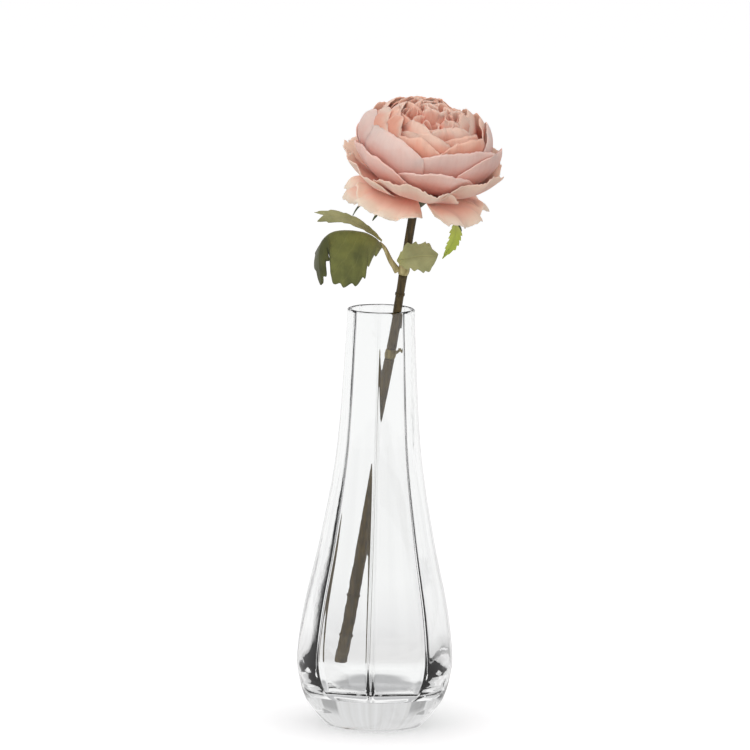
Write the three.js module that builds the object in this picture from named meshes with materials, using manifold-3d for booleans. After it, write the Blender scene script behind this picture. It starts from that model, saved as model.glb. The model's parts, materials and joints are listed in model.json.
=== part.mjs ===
// A clear glass bud vase with an artificial flower stem standing in it.
// Millimetres, +Z up. The origin is the centre of the vase's foot, on the surface it stands on.

import * as THREE from "three";
import { mergeVertices } from "three/addons/utils/BufferGeometryUtils.js";
import Module from "manifold-3d";

// ---------------------------------------------------------------- driving dimensions

const GAP = 0.3; // clearance between two pieces that meet

// Glass vase: radius and height of the points that shape it
const VASE_HEIGHT = 230;
const FOOT_RADIUS = 26.5;
const OUTER_PROFILE = [[27.3, 0.8], [32.7, 7], [38.2, 15], [41.9, 28], [42.5, 41], [39, 67], [30.6, 106],
  [23, 153], [19.1, 212], [18.5, VASE_HEIGHT - 1.6]];
const INNER_PROFILE = [[16.6, VASE_HEIGHT - 1.6], [17.2, 212], [20.5, 153], [27.9, 106], [36, 67], [38.7, 43],
  [36.6, 31], [31.5, 22.5], [24, 18.6]];
const FLOOR_HEIGHT = 18;
const FLUTES = 8;
const FLUTE_TURN = THREE.MathUtils.degToRad(-3); // turns the grooves about the vase's axis
const GROOVE_AT_RIM = 0.35; // depth of the fine groove between two flutes, in the inner wall
const GROOVE_AT_FLOOR = 1.3;
const BULGE_AT_RIM = 0.4; // how far the middle of a flute stands in from its two sides
const BULGE_AT_FLOOR = 1.3;
// Shares of a flute's width where the wall has its edges: close together beside the groove
const FLUTE_STEPS = [0, 0.075, 0.2, 0.35, 0.5, 0.65, 0.8, 0.925];

// Stem: a straight line from its cut end to the flower
const STEM_FOOT = new THREE.Vector3(-19.2, 21.6, 25.2);
const STEM_AT_MOUTH = new THREE.Vector3(8.7, -10.7, VASE_HEIGHT);
const STEM_RADIUS = 2.4;
const WIRE_RADIUS = 1;
const BORE_RADIUS = WIRE_RADIUS + GAP;
const KNUCKLE_AT = 182; // distances along the stem from its cut end
const KNUCKLE_LENGTH = 5;
const COLLAR_AT = 230;
const COLLAR_LENGTH = 6;
const STEM_LENGTH = 268;
const PEG_RADIUS = 2;
const PEG_LENGTH = 5;

// Flower head: it sits on the peg and leans a little from the stem's line
const HEAD_AXIS = new THREE.Vector3(0.15, -0.225, 0.965).normalize();
const CALYX_HEIGHT = 7;
const PETAL_THICKNESS = 0.8;

// ---------------------------------------------------------------- materials

const finish = (color, roughness, metalness = 0) =>
  new THREE.MeshStandardMaterial({ color, roughness, metalness });

const GLASS = finish(0xf2f6f5, 0.02);
const STEEL = finish(0x8d8f90, 0.4, 1);
const BARK = finish(0x54482c, 0.62);
const NODE_GREEN = finish(0xb3a568, 0.55);
const LEAF_GREEN = finish(0x6b7342, 0.7);
const PALE_LEAF = finish(0x9aa27a, 0.7);
const BRACT_GREEN = finish(0x8d9c46, 0.7);
const SEPAL_GREEN = finish(0x3c4a2c, 0.7);
const PETAL_CREAM = finish(0xf3d8c4, 0.85);
const PETAL_PINK = finish(0xeeb9ae, 0.85);
const PETAL_CORAL = finish(0xe79f92, 0.85);
const PETAL_APRICOT = finish(0xf6c09c, 0.85);
const CORE_PLASTIC = finish(0xd9c79a, 0.5);

const object = new THREE.Group();

function addPiece(name, geometry, material, parent = object) {
  const mesh = new THREE.Mesh(geometry, material.clone());
  mesh.name = name;
  parent.add(mesh);
  return mesh;
}

// ---------------------------------------------------------------- geometry helpers

// A closed skin through rings that all have the same number of points. The ends are capped,
// or the last ring joins the first one.
function skin(rings, joined = false) {
  const around = rings[0].length;
  const points = rings.flat();
  const faces = [];
  const spans = joined ? rings.length : rings.length - 1;
  for (let row = 0; row < spans; row++) {
    const next = (row + 1) % rings.length;
    for (let i = 0; i < around; i++) {
      const j = (i + 1) % around;
      const [a, b, c, d] = [row * around + i, row * around + j, next * around + i, next * around + j];
      faces.push(a, b, d, a, d, c);
    }
  }
  if (!joined) {
    for (const [row, forwards] of [[0, false], [rings.length - 1, true]]) {
      const centre = rings[row].reduce((sum, p) => sum.add(p), new THREE.Vector3());
      points.push(centre.divideScalar(around));
      for (let i = 0; i < around; i++) {
        const [a, b] = [row * around + i, row * around + (i + 1) % around];
        faces.push(points.length - 1, ...(forwards ? [a, b] : [b, a]));
      }
    }
  }
  return outwardFaced(points, faces);
}

// The faces with their outsides out: the enclosed volume has to be positive.
function outwardFaced(points, faces) {
  let volume = 0;
  const normal = new THREE.Vector3();
  for (let i = 0; i < faces.length; i += 3) {
    const [a, b, c] = [points[faces[i]], points[faces[i + 1]], points[faces[i + 2]]];
    volume += normal.crossVectors(b, c).dot(a);
  }
  const geometry = new THREE.BufferGeometry().setFromPoints(points);
  geometry.setIndex(volume > 0 ? faces : faces.reverse());
  geometry.computeVertexNormals();
  return geometry;
}

// A solid turned about +Z: its outline is a list of [radius, height] and closes on itself.
function turned(outline, segments = 16) {
  const rings = outline.map(([radius, height]) => Array.from({ length: segments }, (_, i) => {
    const angle = (i / segments) * 2 * Math.PI;
    return new THREE.Vector3(radius * Math.cos(angle), radius * Math.sin(angle), height);
  }));
  return skin(rings, true);
}

// One solid from two that overlap.
const manifold = await Module();
manifold.setup();

function united(first, second) {
  const [a, b] = [first, second].map((geometry) => {
    const bare = new THREE.BufferGeometry();
    bare.setAttribute("position", geometry.attributes.position);
    bare.setIndex(geometry.index);
    const merged = mergeVertices(bare);
    return new manifold.Manifold(new manifold.Mesh({
      numProp: 3,
      vertProperties: new Float32Array(merged.attributes.position.array),
      triVerts: new Uint32Array(merged.index.array),
    }));
  });
  const { vertProperties, triVerts } = a.add(b).getMesh();
  const geometry = new THREE.BufferGeometry();
  geometry.setAttribute("position", new THREE.BufferAttribute(vertProperties, 3));
  geometry.setIndex([...triVerts]);
  geometry.computeVertexNormals();
  return geometry;
}

// A round rod along a curve, with the radius shrinking from its first to its last end.
function rod(points, startRadius, endRadius, sides = 8, steps = 8) {
  const curve = new THREE.CatmullRomCurve3(points);
  const frames = curve.computeFrenetFrames(steps);
  const rings = [];
  for (let k = 0; k <= steps; k++) {
    const middle = curve.getPointAt(k / steps);
    const radius = THREE.MathUtils.lerp(startRadius, endRadius, k / steps);
    rings.push(Array.from({ length: sides }, (_, i) => {
      const angle = (i / sides) * 2 * Math.PI;
      return middle.clone()
        .addScaledVector(frames.normals[k], radius * Math.cos(angle))
        .addScaledVector(frames.binormals[k], radius * Math.sin(angle));
    }));
  }
  return skin(rings);
}

// A thin leaf. Its midrib is a curve, and each side slopes away from it along a direction, with
// a half-width that depends on the place along the midrib, from 0 at the root to 1 at the tip.
function leaf({ midrib, sides, thickness = 0.6, steps = 14, across = 3 }) {
  const curve = new THREE.CatmullRomCurve3(midrib);
  const rings = [];
  for (let k = 0; k <= steps; k++) {
    const along = k / steps;
    const rib = curve.getPointAt(along);
    const section = [];
    for (let m = -across; m <= across; m++) {
      const side = sides[m < 0 ? 0 : 1];
      const reach = side.halfWidth(along) * Math.abs(m) / across;
      section.push(rib.clone().addScaledVector(side.slope, reach));
    }
    const tangent = curve.getTangentAt(along);
    const width = new THREE.Vector3().subVectors(section.at(-1), section[0]);
    const down = new THREE.Vector3().crossVectors(tangent, width).setLength(thickness);
    const underside = section.map((p) => p.clone().add(down)).reverse();
    rings.push([...section, ...underside]);
  }
  return skin(rings);
}

// A whorl of petals or sepals: one thin sheet with a hole in the middle, cut into lobes at its
// edge. profile(t) gives the sheet's [radius, height] from the hole, t = 0, to the edge, t = 1.
function whorl({ profile, lobes, notch, turn = 0, sharpness = 0.5, rows = 4, perLobe = 6 }) {
  const around = lobes * perLobe;
  const reach = (angle) =>
    1 - notch * (1 - Math.abs(Math.cos((lobes * (angle - turn)) / 2)) ** sharpness);
  const faceRings = (offset) => Array.from({ length: rows + 1 }, (_, row) =>
    Array.from({ length: around }, (_, i) => {
      const angle = (i / around) * 2 * Math.PI;
      const t = (row / rows) * reach(angle);
      const [radius, height] = profile(t);
      const [nextRadius, nextHeight] = profile(t + 0.01);
      const step = Math.hypot(nextRadius - radius, nextHeight - height);
      const outwards = radius + (offset * (nextHeight - height)) / step;
      const upwards = height - (offset * (nextRadius - radius)) / step;
      return new THREE.Vector3(outwards * Math.cos(angle), outwards * Math.sin(angle), upwards);
    }));
  const half = PETAL_THICKNESS / 2;
  return skin([...faceRings(half), ...faceRings(-half).reverse()], true);
}

// ---------------------------------------------------------------- glass vase

// A ring of points around the vase at one height. radiusAt(share) gives the radius at a share of a
// flute's width, from the groove on its one side, 0, to the groove on its other side, 1.
function flutedRing(radiusAt, height) {
  const ring = [];
  for (let flute = 0; flute < FLUTES; flute++) {
    for (const share of FLUTE_STEPS) {
      const angle = FLUTE_TURN + ((flute + share) / FLUTES) * 2 * Math.PI;
      const radius = radiusAt(share);
      ring.push(new THREE.Vector3(radius * Math.cos(angle), radius * Math.sin(angle), height));
    }
  }
  return ring;
}

function vase() {
  const smooth = (profile, count) =>
    new THREE.SplineCurve(profile.map(([r, z]) => new THREE.Vector2(r, z))).getPoints(count);
  const atHeight = (z, atFloor, atRim) =>
    THREE.MathUtils.mapLinear(z, FLOOR_HEIGHT, VASE_HEIGHT, atFloor, atRim);

  const outer = smooth(OUTER_PROFILE, 17).map((p) => flutedRing(() => p.x, p.y));
  const rimRadius = (OUTER_PROFILE.at(-1)[0] + INNER_PROFILE[0][0]) / 2;
  const inner = smooth(INNER_PROFILE, 15).map((p) => {
    const groove = atHeight(p.y, GROOVE_AT_FLOOR, GROOVE_AT_RIM);
    const bulge = atHeight(p.y, BULGE_AT_FLOOR, BULGE_AT_RIM);
    return flutedRing((share) =>
      share === 0 ? p.x + groove : p.x - bulge * (1 - (2 * share - 1) ** 2), p.y);
  });
  return skin([
    flutedRing(() => FOOT_RADIUS, 0),
    ...outer,
    flutedRing(() => rimRadius + 0.5, VASE_HEIGHT),
    flutedRing(() => rimRadius - 0.5, VASE_HEIGHT),
    ...inner,
    flutedRing(() => 12, FLOOR_HEIGHT),
  ]);
}

addPiece("vase_glass", vase(), GLASS);

// ---------------------------------------------------------------- stem, along its own +Z

const stemLine = STEM_AT_MOUTH.clone().sub(STEM_FOOT).normalize();
const stem = new THREE.Group();
stem.position.copy(STEM_FOOT);
stem.quaternion.setFromUnitVectors(new THREE.Vector3(0, 0, 1), stemLine);
object.add(stem);

// A sleeve with a bore for the wire. It swells to the end radii over the length of a node.
function sleeve(from, to, fromRadius, toRadius) {
  const flare = 3;
  return turned([
    [BORE_RADIUS, from], [fromRadius, from], [STEM_RADIUS, from + flare],
    [STEM_RADIUS, to - flare], [toRadius, to], [BORE_RADIUS, to],
  ], 12);
}

const KNUCKLE_RADIUS = STEM_RADIUS + 0.3;
const COLLAR_RADIUS = STEM_RADIUS + 1;
const wireEnd = STEM_LENGTH + PEG_LENGTH - 1;
addPiece("stem_wire", rod([new THREE.Vector3(0, 0, 0), new THREE.Vector3(0, 0, wireEnd)],
  WIRE_RADIUS, WIRE_RADIUS, 8, 1), STEEL, stem);

addPiece("stem_lower", sleeve(0, KNUCKLE_AT, STEM_RADIUS, STEM_RADIUS), BARK, stem);

const knuckleTop = KNUCKLE_AT + GAP + KNUCKLE_LENGTH;
const stemMiddleFrom = knuckleTop + GAP;
addPiece("stem_middle", sleeve(stemMiddleFrom, COLLAR_AT, STEM_RADIUS, STEM_RADIUS + 0.3), BARK, stem);

const collarTop = COLLAR_AT + GAP + COLLAR_LENGTH;
addPiece("stem_upper", turned([
  [BORE_RADIUS, collarTop + GAP], [STEM_RADIUS + 0.3, collarTop + GAP], [STEM_RADIUS, collarTop + 3],
  [STEM_RADIUS, STEM_LENGTH], [PEG_RADIUS, STEM_LENGTH], [PEG_RADIUS, STEM_LENGTH + PEG_LENGTH],
  [BORE_RADIUS, STEM_LENGTH + PEG_LENGTH],
], 12), BARK, stem);

// A ring on the wire between two stem sections, with a swollen middle.
function nodeRing(endRadius, middleRadius, length) {
  const rise = length * 0.3;
  return turned([
    [BORE_RADIUS, 0], [endRadius, 0], [middleRadius, rise], [middleRadius, length - rise],
    [endRadius, length], [BORE_RADIUS, length],
  ], 12);
}

// The knuckle has a short stub, hooked upwards, where a leaf was cut off.
const stubDirection = new THREE.Vector3(0.8, 0.6, 0);
const stub = rod([[1.9, 0.3], [3.6, 0.6], [4.4, 2.4]].map(([out, up]) =>
  stubDirection.clone().multiplyScalar(out).setZ(KNUCKLE_LENGTH / 2 + up)), 0.9, 0.6, 8, 4);
addPiece("stem_knuckle", united(nodeRing(STEM_RADIUS, KNUCKLE_RADIUS, KNUCKLE_LENGTH), stub)
  .translate(0, 0, KNUCKLE_AT + GAP), NODE_GREEN, stem);

// ---------------------------------------------------------------- leaf spray

addPiece("leaf_collar", nodeRing(STEM_RADIUS + 0.3, COLLAR_RADIUS, COLLAR_LENGTH)
  .translate(0, 0, COLLAR_AT + GAP), NODE_GREEN, stem);

// The leaves are placed from the middle of their collar, in the object's own directions.
const spray = new THREE.Group();
spray.position.copy(STEM_FOOT).addScaledVector(stemLine, COLLAR_AT + GAP + COLLAR_LENGTH / 2);
object.add(spray);

const at = (x, y, z) => new THREE.Vector3(x, y, z);
const slope = (x, y, z) => at(x, y, z).normalize();
const bump = (t, from, to) => Math.sin(Math.PI * THREE.MathUtils.clamp((t - from) / (to - from), 0, 1));

addPiece("leaf_stalk_left", rod([at(-4.6, -0.8, 0.6), at(-7.2, -1.5, 4.4), at(-10.6, -2.2, 11.4)],
  1.4, 0.9), NODE_GREEN, spray);

// The largest leaf has a broad lobe near its stalk, which droops, and a narrow one at its tip.
const lobed = (t, broad, to) => 0.7 + broad * bump(t, -0.05, to) ** 0.8 + 6 * bump(t, 0.45, 1);
addPiece("leaf_large_left", leaf({
  midrib: [at(-11.9, -2.5, 13), at(-20, -4, 20), at(-34, -6.5, 21.5), at(-44, -9, 15), at(-45.5, -11, -8)],
  sides: [
    { slope: slope(0.12, -0.25, -0.96), halfWidth: (t) => lobed(t, 28, 0.66) },
    { slope: slope(0.1, 0.8, -0.6), halfWidth: (t) => lobed(t, 20, 0.62) },
  ],
}), LEAF_GREEN, spray);

addPiece("leaf_upper_narrow", leaf({
  midrib: [at(-12.2, 1.6, 15), at(-17.5, 4, 19.2), at(-24, 6.2, 23), at(-31, 8, 25.8), at(-47, 9.2, 27.4)],
  sides: [
    { slope: slope(-0.1, -0.93, -0.36), halfWidth: (t) => 0.7 + 6 * bump(t, -0.05, 1.12) },
    { slope: slope(-0.1, 0.97, -0.2), halfWidth: (t) => 0.7 + 6 * bump(t, -0.05, 1.12) },
  ],
}), PALE_LEAF, spray);

addPiece("leaf_right_small", leaf({
  midrib: [at(-3.9, -5.8, 5.4), at(2.5, -8.6, 7.4), at(9.5, -10.8, 9), at(18, -12.6, 9.2)],
  sides: [
    { slope: slope(0, -0.1, -0.99), halfWidth: (t) => 0.7 + 8 * bump(t, -0.1, 1.1) },
    { slope: slope(0, 0.15, 0.98), halfWidth: (t) => 0.7 + 7 * bump(t, -0.1, 1.1) },
  ],
  steps: 12,
}), PALE_LEAF, spray);

// ---------------------------------------------------------------- calyx, on the stem's own line

addPiece("calyx_cup", turned([
  [PEG_RADIUS + GAP, GAP], [3, GAP], [5, 2.5], [7.5, 5.5], [8, CALYX_HEIGHT], [0.6, CALYX_HEIGHT],
  [0.6, PEG_LENGTH + GAP + 0.2], [PEG_RADIUS + GAP, PEG_LENGTH + GAP + 0.2],
]).translate(0, 0, STEM_LENGTH), SEPAL_GREEN, stem);

// ---------------------------------------------------------------- flower head, along its own +Z

const head = new THREE.Group();
head.position.copy(STEM_FOOT).addScaledVector(stemLine, STEM_LENGTH);
head.quaternion.setFromUnitVectors(at(0, 0, 1), HEAD_AXIS);
object.add(head);

// An outline through a few [radius, height] points, as a function of 0 to 1.
function through(outline) {
  const curve = new THREE.SplineCurve(outline.map(([r, z]) => new THREE.Vector2(r, z)));
  return (t) => {
    const p = curve.getPoint(Math.min(t, 1));
    const past = Math.max(t - 1, 0);
    const end = curve.getTangent(1);
    return [p.x + end.x * past, p.y + end.y * past];
  };
}

// A bowl that is an ellipse in section, from a small hole at the bottom to an edge past its
// widest part, which is at the given height above the calyx's foot.
function bowl(radius, depth, widestAt, edgeDegrees) {
  const from = Math.asin(3.4 / radius);
  const to = THREE.MathUtils.degToRad(edgeDegrees);
  return (t) => {
    const angle = THREE.MathUtils.lerp(from, to, t);
    return [radius * Math.sin(angle), widestAt - depth * Math.cos(angle)];
  };
}

addPiece("sepal_star", whorl({
  profile: through([[3.4, 8.6], [9, 8.7], [18, 6.4], [26, 0]]),
  lobes: 5, notch: 0.72, turn: 0.5, sharpness: 5, rows: 3, perLobe: 8,
}), SEPAL_GREEN, head);

const WHORLS = [
  ["petals_skirt", PETAL_CREAM, through([[3.4, 10], [20, 10], [33, 8.2], [42, 2]]), 5, 0.3, 0.3],
  ["petals_guard", PETAL_CREAM, through([[3.4, 11.2], [20, 12.6], [35, 18], [44, 27]]), 5, 0.3, 0.9],
  ["petals_cup_outer", PETAL_PINK, bowl(40, 27.8, 40, 98), 5, 0.22, 0.2],
  ["petals_cup_middle", PETAL_PINK, bowl(36, 25, 40, 116), 5, 0.22, 0.8],
  ["petals_cup_inner", PETAL_CORAL, bowl(31.8, 24.6, 43, 116), 5, 0.2, 0.4],
  ["petals_heart_outer", PETAL_CORAL, bowl(27.4, 23.4, 45, 118), 6, 0.18, 0.1],
  ["petals_heart_inner", PETAL_APRICOT, bowl(22.8, 21.9, 46.5, 118), 6, 0.18, 0.6],
];
for (const [name, material, profile, lobes, notch, turn] of WHORLS) {
  addPiece(name, whorl({ profile, lobes, notch, turn }), material, head);
}

// The core: a shank through all the layers, with a dome that the tufts are glued to.
addPiece("flower_heart", turned([
  [0.6, CALYX_HEIGHT + 1.3], [2.8, CALYX_HEIGHT + 1.3], [2.8, 26.5], [8, 29.5], [7, 32.5], [0.6, 33.5],
], 14), CORE_PLASTIC, head);

// Rolled tufts: one in the middle and a ring of six around it.
function tuft(foot, top, radius) {
  const rings = [[0, 0.4], [0.4, 0.75], [0.8, 1], [1, 0.6]].map(([t, share]) => {
    const middle = foot.clone().lerp(top, t);
    return Array.from({ length: 10 }, (_, i) => {
      const angle = (i / 10) * 2 * Math.PI;
      return middle.clone().add(at(radius * share * Math.cos(angle), radius * share * Math.sin(angle), 0));
    });
  });
  return skin(rings);
}
const TUFT_TOP = 58;
addPiece("rosette_tuft_1", tuft(at(0, 0, 34), at(0, 0, TUFT_TOP + 1), 6), PETAL_APRICOT, head);
for (let i = 0; i < 6; i++) {
  const angle = ((i + 0.5) / 6) * 2 * Math.PI;
  const outwards = at(Math.cos(angle), Math.sin(angle), 0);
  const foot = outwards.clone().multiplyScalar(11.8).setZ(31);
  const top = outwards.clone().multiplyScalar(12.8).setZ(TUFT_TOP);
  addPiece(`rosette_tuft_${i + 2}`, tuft(foot, top, 5.4), PETAL_APRICOT, head);
}

// ---------------------------------------------------------------- hanging bract

addPiece("bract_stalk", rod([at(8.8, 1.5, 3.6), at(16, 2.5, 2.2), at(22.9, -1, -1.6)], 0.9, 0.7),
  NODE_GREEN, head);
addPiece("bract_leaf", leaf({
  midrib: [at(23.6, -1.6, -2.8), at(24.6, -3.5, -9), at(21, -5, -22)],
  sides: [
    { slope: slope(-1, -0.3, -0.3), halfWidth: (t) => 0.6 + 3.2 * bump(t, -0.1, 1.08) },
    { slope: slope(1, -0.3, -0.3), halfWidth: (t) => 0.6 + 3.2 * bump(t, -0.1, 1.08) },
  ],
  steps: 10,
  across: 1,
}), BRACT_GREEN, head);

export default object;
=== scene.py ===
"""A clear glass bud vase with an artificial flower stem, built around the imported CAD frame."""

import json
import math
import random

import bpy
from mathutils import Matrix, Quaternion, Vector, noise


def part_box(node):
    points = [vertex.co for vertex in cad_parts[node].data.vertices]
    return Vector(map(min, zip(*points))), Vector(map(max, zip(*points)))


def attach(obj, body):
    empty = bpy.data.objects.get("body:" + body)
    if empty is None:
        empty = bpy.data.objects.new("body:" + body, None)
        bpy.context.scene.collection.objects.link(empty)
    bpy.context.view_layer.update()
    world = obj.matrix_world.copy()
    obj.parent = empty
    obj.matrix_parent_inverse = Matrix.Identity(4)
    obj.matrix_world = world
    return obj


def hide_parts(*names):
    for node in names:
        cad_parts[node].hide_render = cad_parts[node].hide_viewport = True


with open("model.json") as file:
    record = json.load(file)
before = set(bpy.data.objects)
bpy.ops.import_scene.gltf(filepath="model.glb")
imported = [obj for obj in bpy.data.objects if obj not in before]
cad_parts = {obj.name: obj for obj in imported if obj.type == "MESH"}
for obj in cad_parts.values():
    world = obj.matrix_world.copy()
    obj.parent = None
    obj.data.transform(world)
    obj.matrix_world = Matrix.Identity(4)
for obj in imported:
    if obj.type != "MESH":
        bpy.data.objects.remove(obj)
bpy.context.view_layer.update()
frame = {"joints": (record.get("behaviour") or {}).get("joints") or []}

MM = 0.001
TAU = 2 * math.pi
UP = Vector((0, 0, 1))
JOINTS = {joint["name"]: joint for joint in frame["joints"]}
STEM_LINE = Vector(JOINTS["stem_lift"]["axis"])
STEM_FOOT = Vector(JOINTS["stem_turn"]["pos_m"]) / MM
HEAD_FOOT = Vector(JOINTS["head_turn"]["pos_m"]) / MM
COLLAR = Vector(JOINTS["leaf_spray_turn"]["pos_m"]) / MM
VASE_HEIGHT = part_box("vase_glass")[1].z / MM


# ---------------------------------------------------------------- small helpers


def smoothstep(low, high, x):
    """0 below low and 1 above high, with an even passage between."""
    t = min(max((x - low) / (high - low), 0), 1)
    return t * t * (3 - 2 * t)


def mix(a, b, t):
    return a + (b - a) * t


def spline(points, t):
    """A Catmull-Rom curve through tuples of numbers, at t from 0 to 1 over its whole length."""
    spans = len(points) - 1
    place = min(max(t, 0), 1) * spans
    i = min(int(place), spans - 1)
    u = place - i
    p0, p1, p2, p3 = (points[min(max(k, 0), spans)] for k in (i - 1, i, i + 1, i + 2))
    return tuple(
        0.5 * (2 * b + (c - a) * u + (2 * a - 5 * b + 4 * c - d) * u * u + (3 * b - a - 3 * c + d) * u**3)
        for a, b, c, d in zip(p0, p1, p2, p3)
    )


def mesh_object(name, points, faces, material, place=None, smooth=True, values=None):
    """A mesh from points in millimetres, turned and moved by place, with per-point attributes."""
    mesh = bpy.data.meshes.new(name)
    if place is not None:
        points = [place @ p for p in points]
    mesh.from_pydata([p * MM for p in points], [], faces)
    mesh.validate()
    if smooth:
        mesh.shade_smooth()
    for key, numbers in (values or {}).items():
        attribute = mesh.attributes.new(key, "FLOAT", "POINT")
        attribute.data.foreach_set("value", numbers)
    mesh.materials.append(material)
    piece = bpy.data.objects.new(name, mesh)
    bpy.context.collection.objects.link(piece)
    return piece


def ring_faces(rows, around):
    """Quads between one ring of points and the next."""
    return [
        (r * around + i, r * around + (i + 1) % around,
         (r + 1) * around + (i + 1) % around, (r + 1) * around + i)
        for r in range(rows - 1)
        for i in range(around)
    ]


def turned_towards(axis, origin):
    """The placing that takes +Z to axis and the zero point to origin, in millimetres."""
    return Matrix.Translation(origin) @ UP.rotation_difference(axis).to_matrix().to_4x4()


# ---------------------------------------------------------------- camera

# The view from a little above the rim, through a long lens, as a product picture is taken.
CAMERA_DISTANCE = 3.2
CAMERA_RISE = math.radians(8.5)
FRAME_WIDTH = 0.4091  # how much the picture takes in at the vase
LOOKS_AT = Vector((-0.0027, 0, 0.1932))
CAMERA_ROLL = math.radians(1.08)


def make_camera():
    data = bpy.data.cameras.new("camera")
    data.sensor_width = 36
    data.lens = data.sensor_width * CAMERA_DISTANCE / FRAME_WIDTH
    data.clip_start, data.clip_end = 0.1, 50
    camera = bpy.data.objects.new("camera", data)
    back = Vector((0, -math.cos(CAMERA_RISE), math.sin(CAMERA_RISE)))
    camera.location = LOOKS_AT + back * CAMERA_DISTANCE
    camera.rotation_mode = "QUATERNION"
    roll = Quaternion(back, CAMERA_ROLL)
    camera.rotation_quaternion = roll @ (-back).to_track_quat("-Z", "Y")
    bpy.context.collection.objects.link(camera)
    bpy.context.scene.camera = camera


make_camera()

# ---------------------------------------------------------------- materials


class Nodes:
    """Short calls for building the node tree of a material or of the world."""

    def __init__(self, owner, output="OutputMaterial"):
        owner.use_nodes = True
        self.owner = owner
        self.tree = owner.node_tree
        self.tree.nodes.clear()
        self.output = self.add(output)

    def add(self, kind, inputs=None, **settings):
        node = self.tree.nodes.new("ShaderNode" + kind)
        for key, value in settings.items():
            setattr(node, key, value)
        for key, value in (inputs or {}).items():
            if isinstance(value, bpy.types.NodeSocket):
                self.tree.links.new(value, node.inputs[key])
            else:
                node.inputs[key].default_value = value
        return node

    def math(self, operation, a, b=0.5, clamp=False):
        return self.add("Math", {0: a, 1: b}, operation=operation, use_clamp=clamp).outputs[0]

    def ramp(self, factor, stops, interpolation="LINEAR"):
        node = self.add("ValToRGB", {"Fac": factor})
        node.color_ramp.interpolation = interpolation
        elements = node.color_ramp.elements
        while len(elements) < len(stops):
            elements.new(0.5)
        for element, (position, colour) in zip(elements, stops):
            element.position = position
            element.color = (*colour, 1)
        return node.outputs["Color"]

    def mixed(self, factor, a, b, blend="MIX"):
        node = self.add("Mix", data_type="RGBA", blend_type=blend)
        for socket, value in zip((node.inputs[0], node.inputs[6], node.inputs[7]), (factor, a, b)):
            if isinstance(value, bpy.types.NodeSocket):
                self.tree.links.new(value, socket)
            else:
                socket.default_value = value if isinstance(value, float) else (*value, 1)
        return node.outputs[2]

    def attribute(self, name):
        return self.add("Attribute", attribute_name=name).outputs["Fac"]

    def link(self, out, into):
        self.tree.links.new(out, into)

    def surface(self, shader):
        self.tree.links.new(shader, self.output.inputs["Surface"])


def srgb(code):
    """A colour written as in a paint program, as linear light."""
    parts = [int(code[i:i + 2], 16) / 255 for i in (0, 2, 4)]
    return tuple(c / 12.92 if c <= 0.04045 else ((c + 0.055) / 1.055) ** 2.4 for c in parts)


def glass_material():
    n = Nodes(bpy.data.materials.new("clear_glass"))
    shader = n.add("BsdfPrincipled", {
        "Base Color": (0.985, 0.99, 0.988, 1), "Roughness": 0.0, "IOR": 1.5, "Transmission Weight": 1.0,
    })
    hand_blown = n.add("TexNoise", {"Scale": 38.0, "Detail": 1.0})
    bump = n.add("Bump", {"Strength": 0.01, "Distance": 0.001, "Height": hand_blown.outputs["Fac"]})
    n.link(bump.outputs[0], shader.inputs["Normal"])
    lets_light_through = n.add("BsdfTransparent", {"Color": (0.93, 0.94, 0.935, 1)})
    path = n.add("LightPath")
    both = n.add("MixShader", {0: path.outputs["Is Shadow Ray"]})
    n.link(shader.outputs[0], both.inputs[1])
    n.link(lets_light_through.outputs[0], both.inputs[2])
    n.surface(both.outputs[0])
    return n.owner


# ---------------------------------------------------------------- glass vase

RIM_ROUNDING = 1.6  # the height of the rounded lip
# Radius and height up the outside, and down the inside.
OUTER_PROFILE = [(27.3, 0.8), (32.7, 7), (38.2, 15), (41.9, 28), (42.5, 41), (39, 67), (30.6, 106), (23, 153),
                 (19.1, 212), (18.5, VASE_HEIGHT - RIM_ROUNDING)]
INNER_PROFILE = [(16.6, VASE_HEIGHT - RIM_ROUNDING), (17.2, 212), (20.5, 153), (27.9, 106), (36, 67),
                 (38.7, 43), (36.6, 31), (31.5, 22.5), (24, 18.6)]
OUTER_ROWS, INNER_ROWS, LIP_ROWS = 110, 120, 12
FOOT_RADIUS = 26.5
FLOOR_HEIGHT = 18
FLUTES = 8
FLUTE_TURN = math.radians(-3)
GROOVE_AT_RIM = 0.35  # how deep the fine groove between two flutes is cut into the inner wall
GROOVE_AT_FLOOR = 1.3
GROOVE_WIDTH = math.radians(2.6)
BULGE_AT_RIM = 0.4  # how far the middle of a flute stands in from its two sides
BULGE_AT_FLOOR = 1.3


def vase_ring(radius_at, height, per_flute=40):
    points = []
    for flute in range(FLUTES):
        for k in range(per_flute):
            s = k / per_flute
            s -= 0.75 * math.sin(TAU * s) / TAU  # closer together at the grooves
            angle = FLUTE_TURN + (flute + s) / FLUTES * TAU
            radius = radius_at(angle)
            points.append(Vector((radius * math.cos(angle), radius * math.sin(angle), height)))
    return points


def groove_share(angle):
    """1 in the bottom of the groove between two flutes, and 0 a little beside it."""
    s = (angle - FLUTE_TURN) * FLUTES / TAU + 0.5
    off = (s % 1 - 0.5) * TAU / FLUTES
    return math.exp(-((off / GROOVE_WIDTH) ** 2))


def bulge_share(angle):
    """0 at a groove and 1 in the middle of a flute."""
    s = (angle - FLUTE_TURN) * FLUTES / TAU % 1
    return 1 - (2 * s - 1) ** 2


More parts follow.
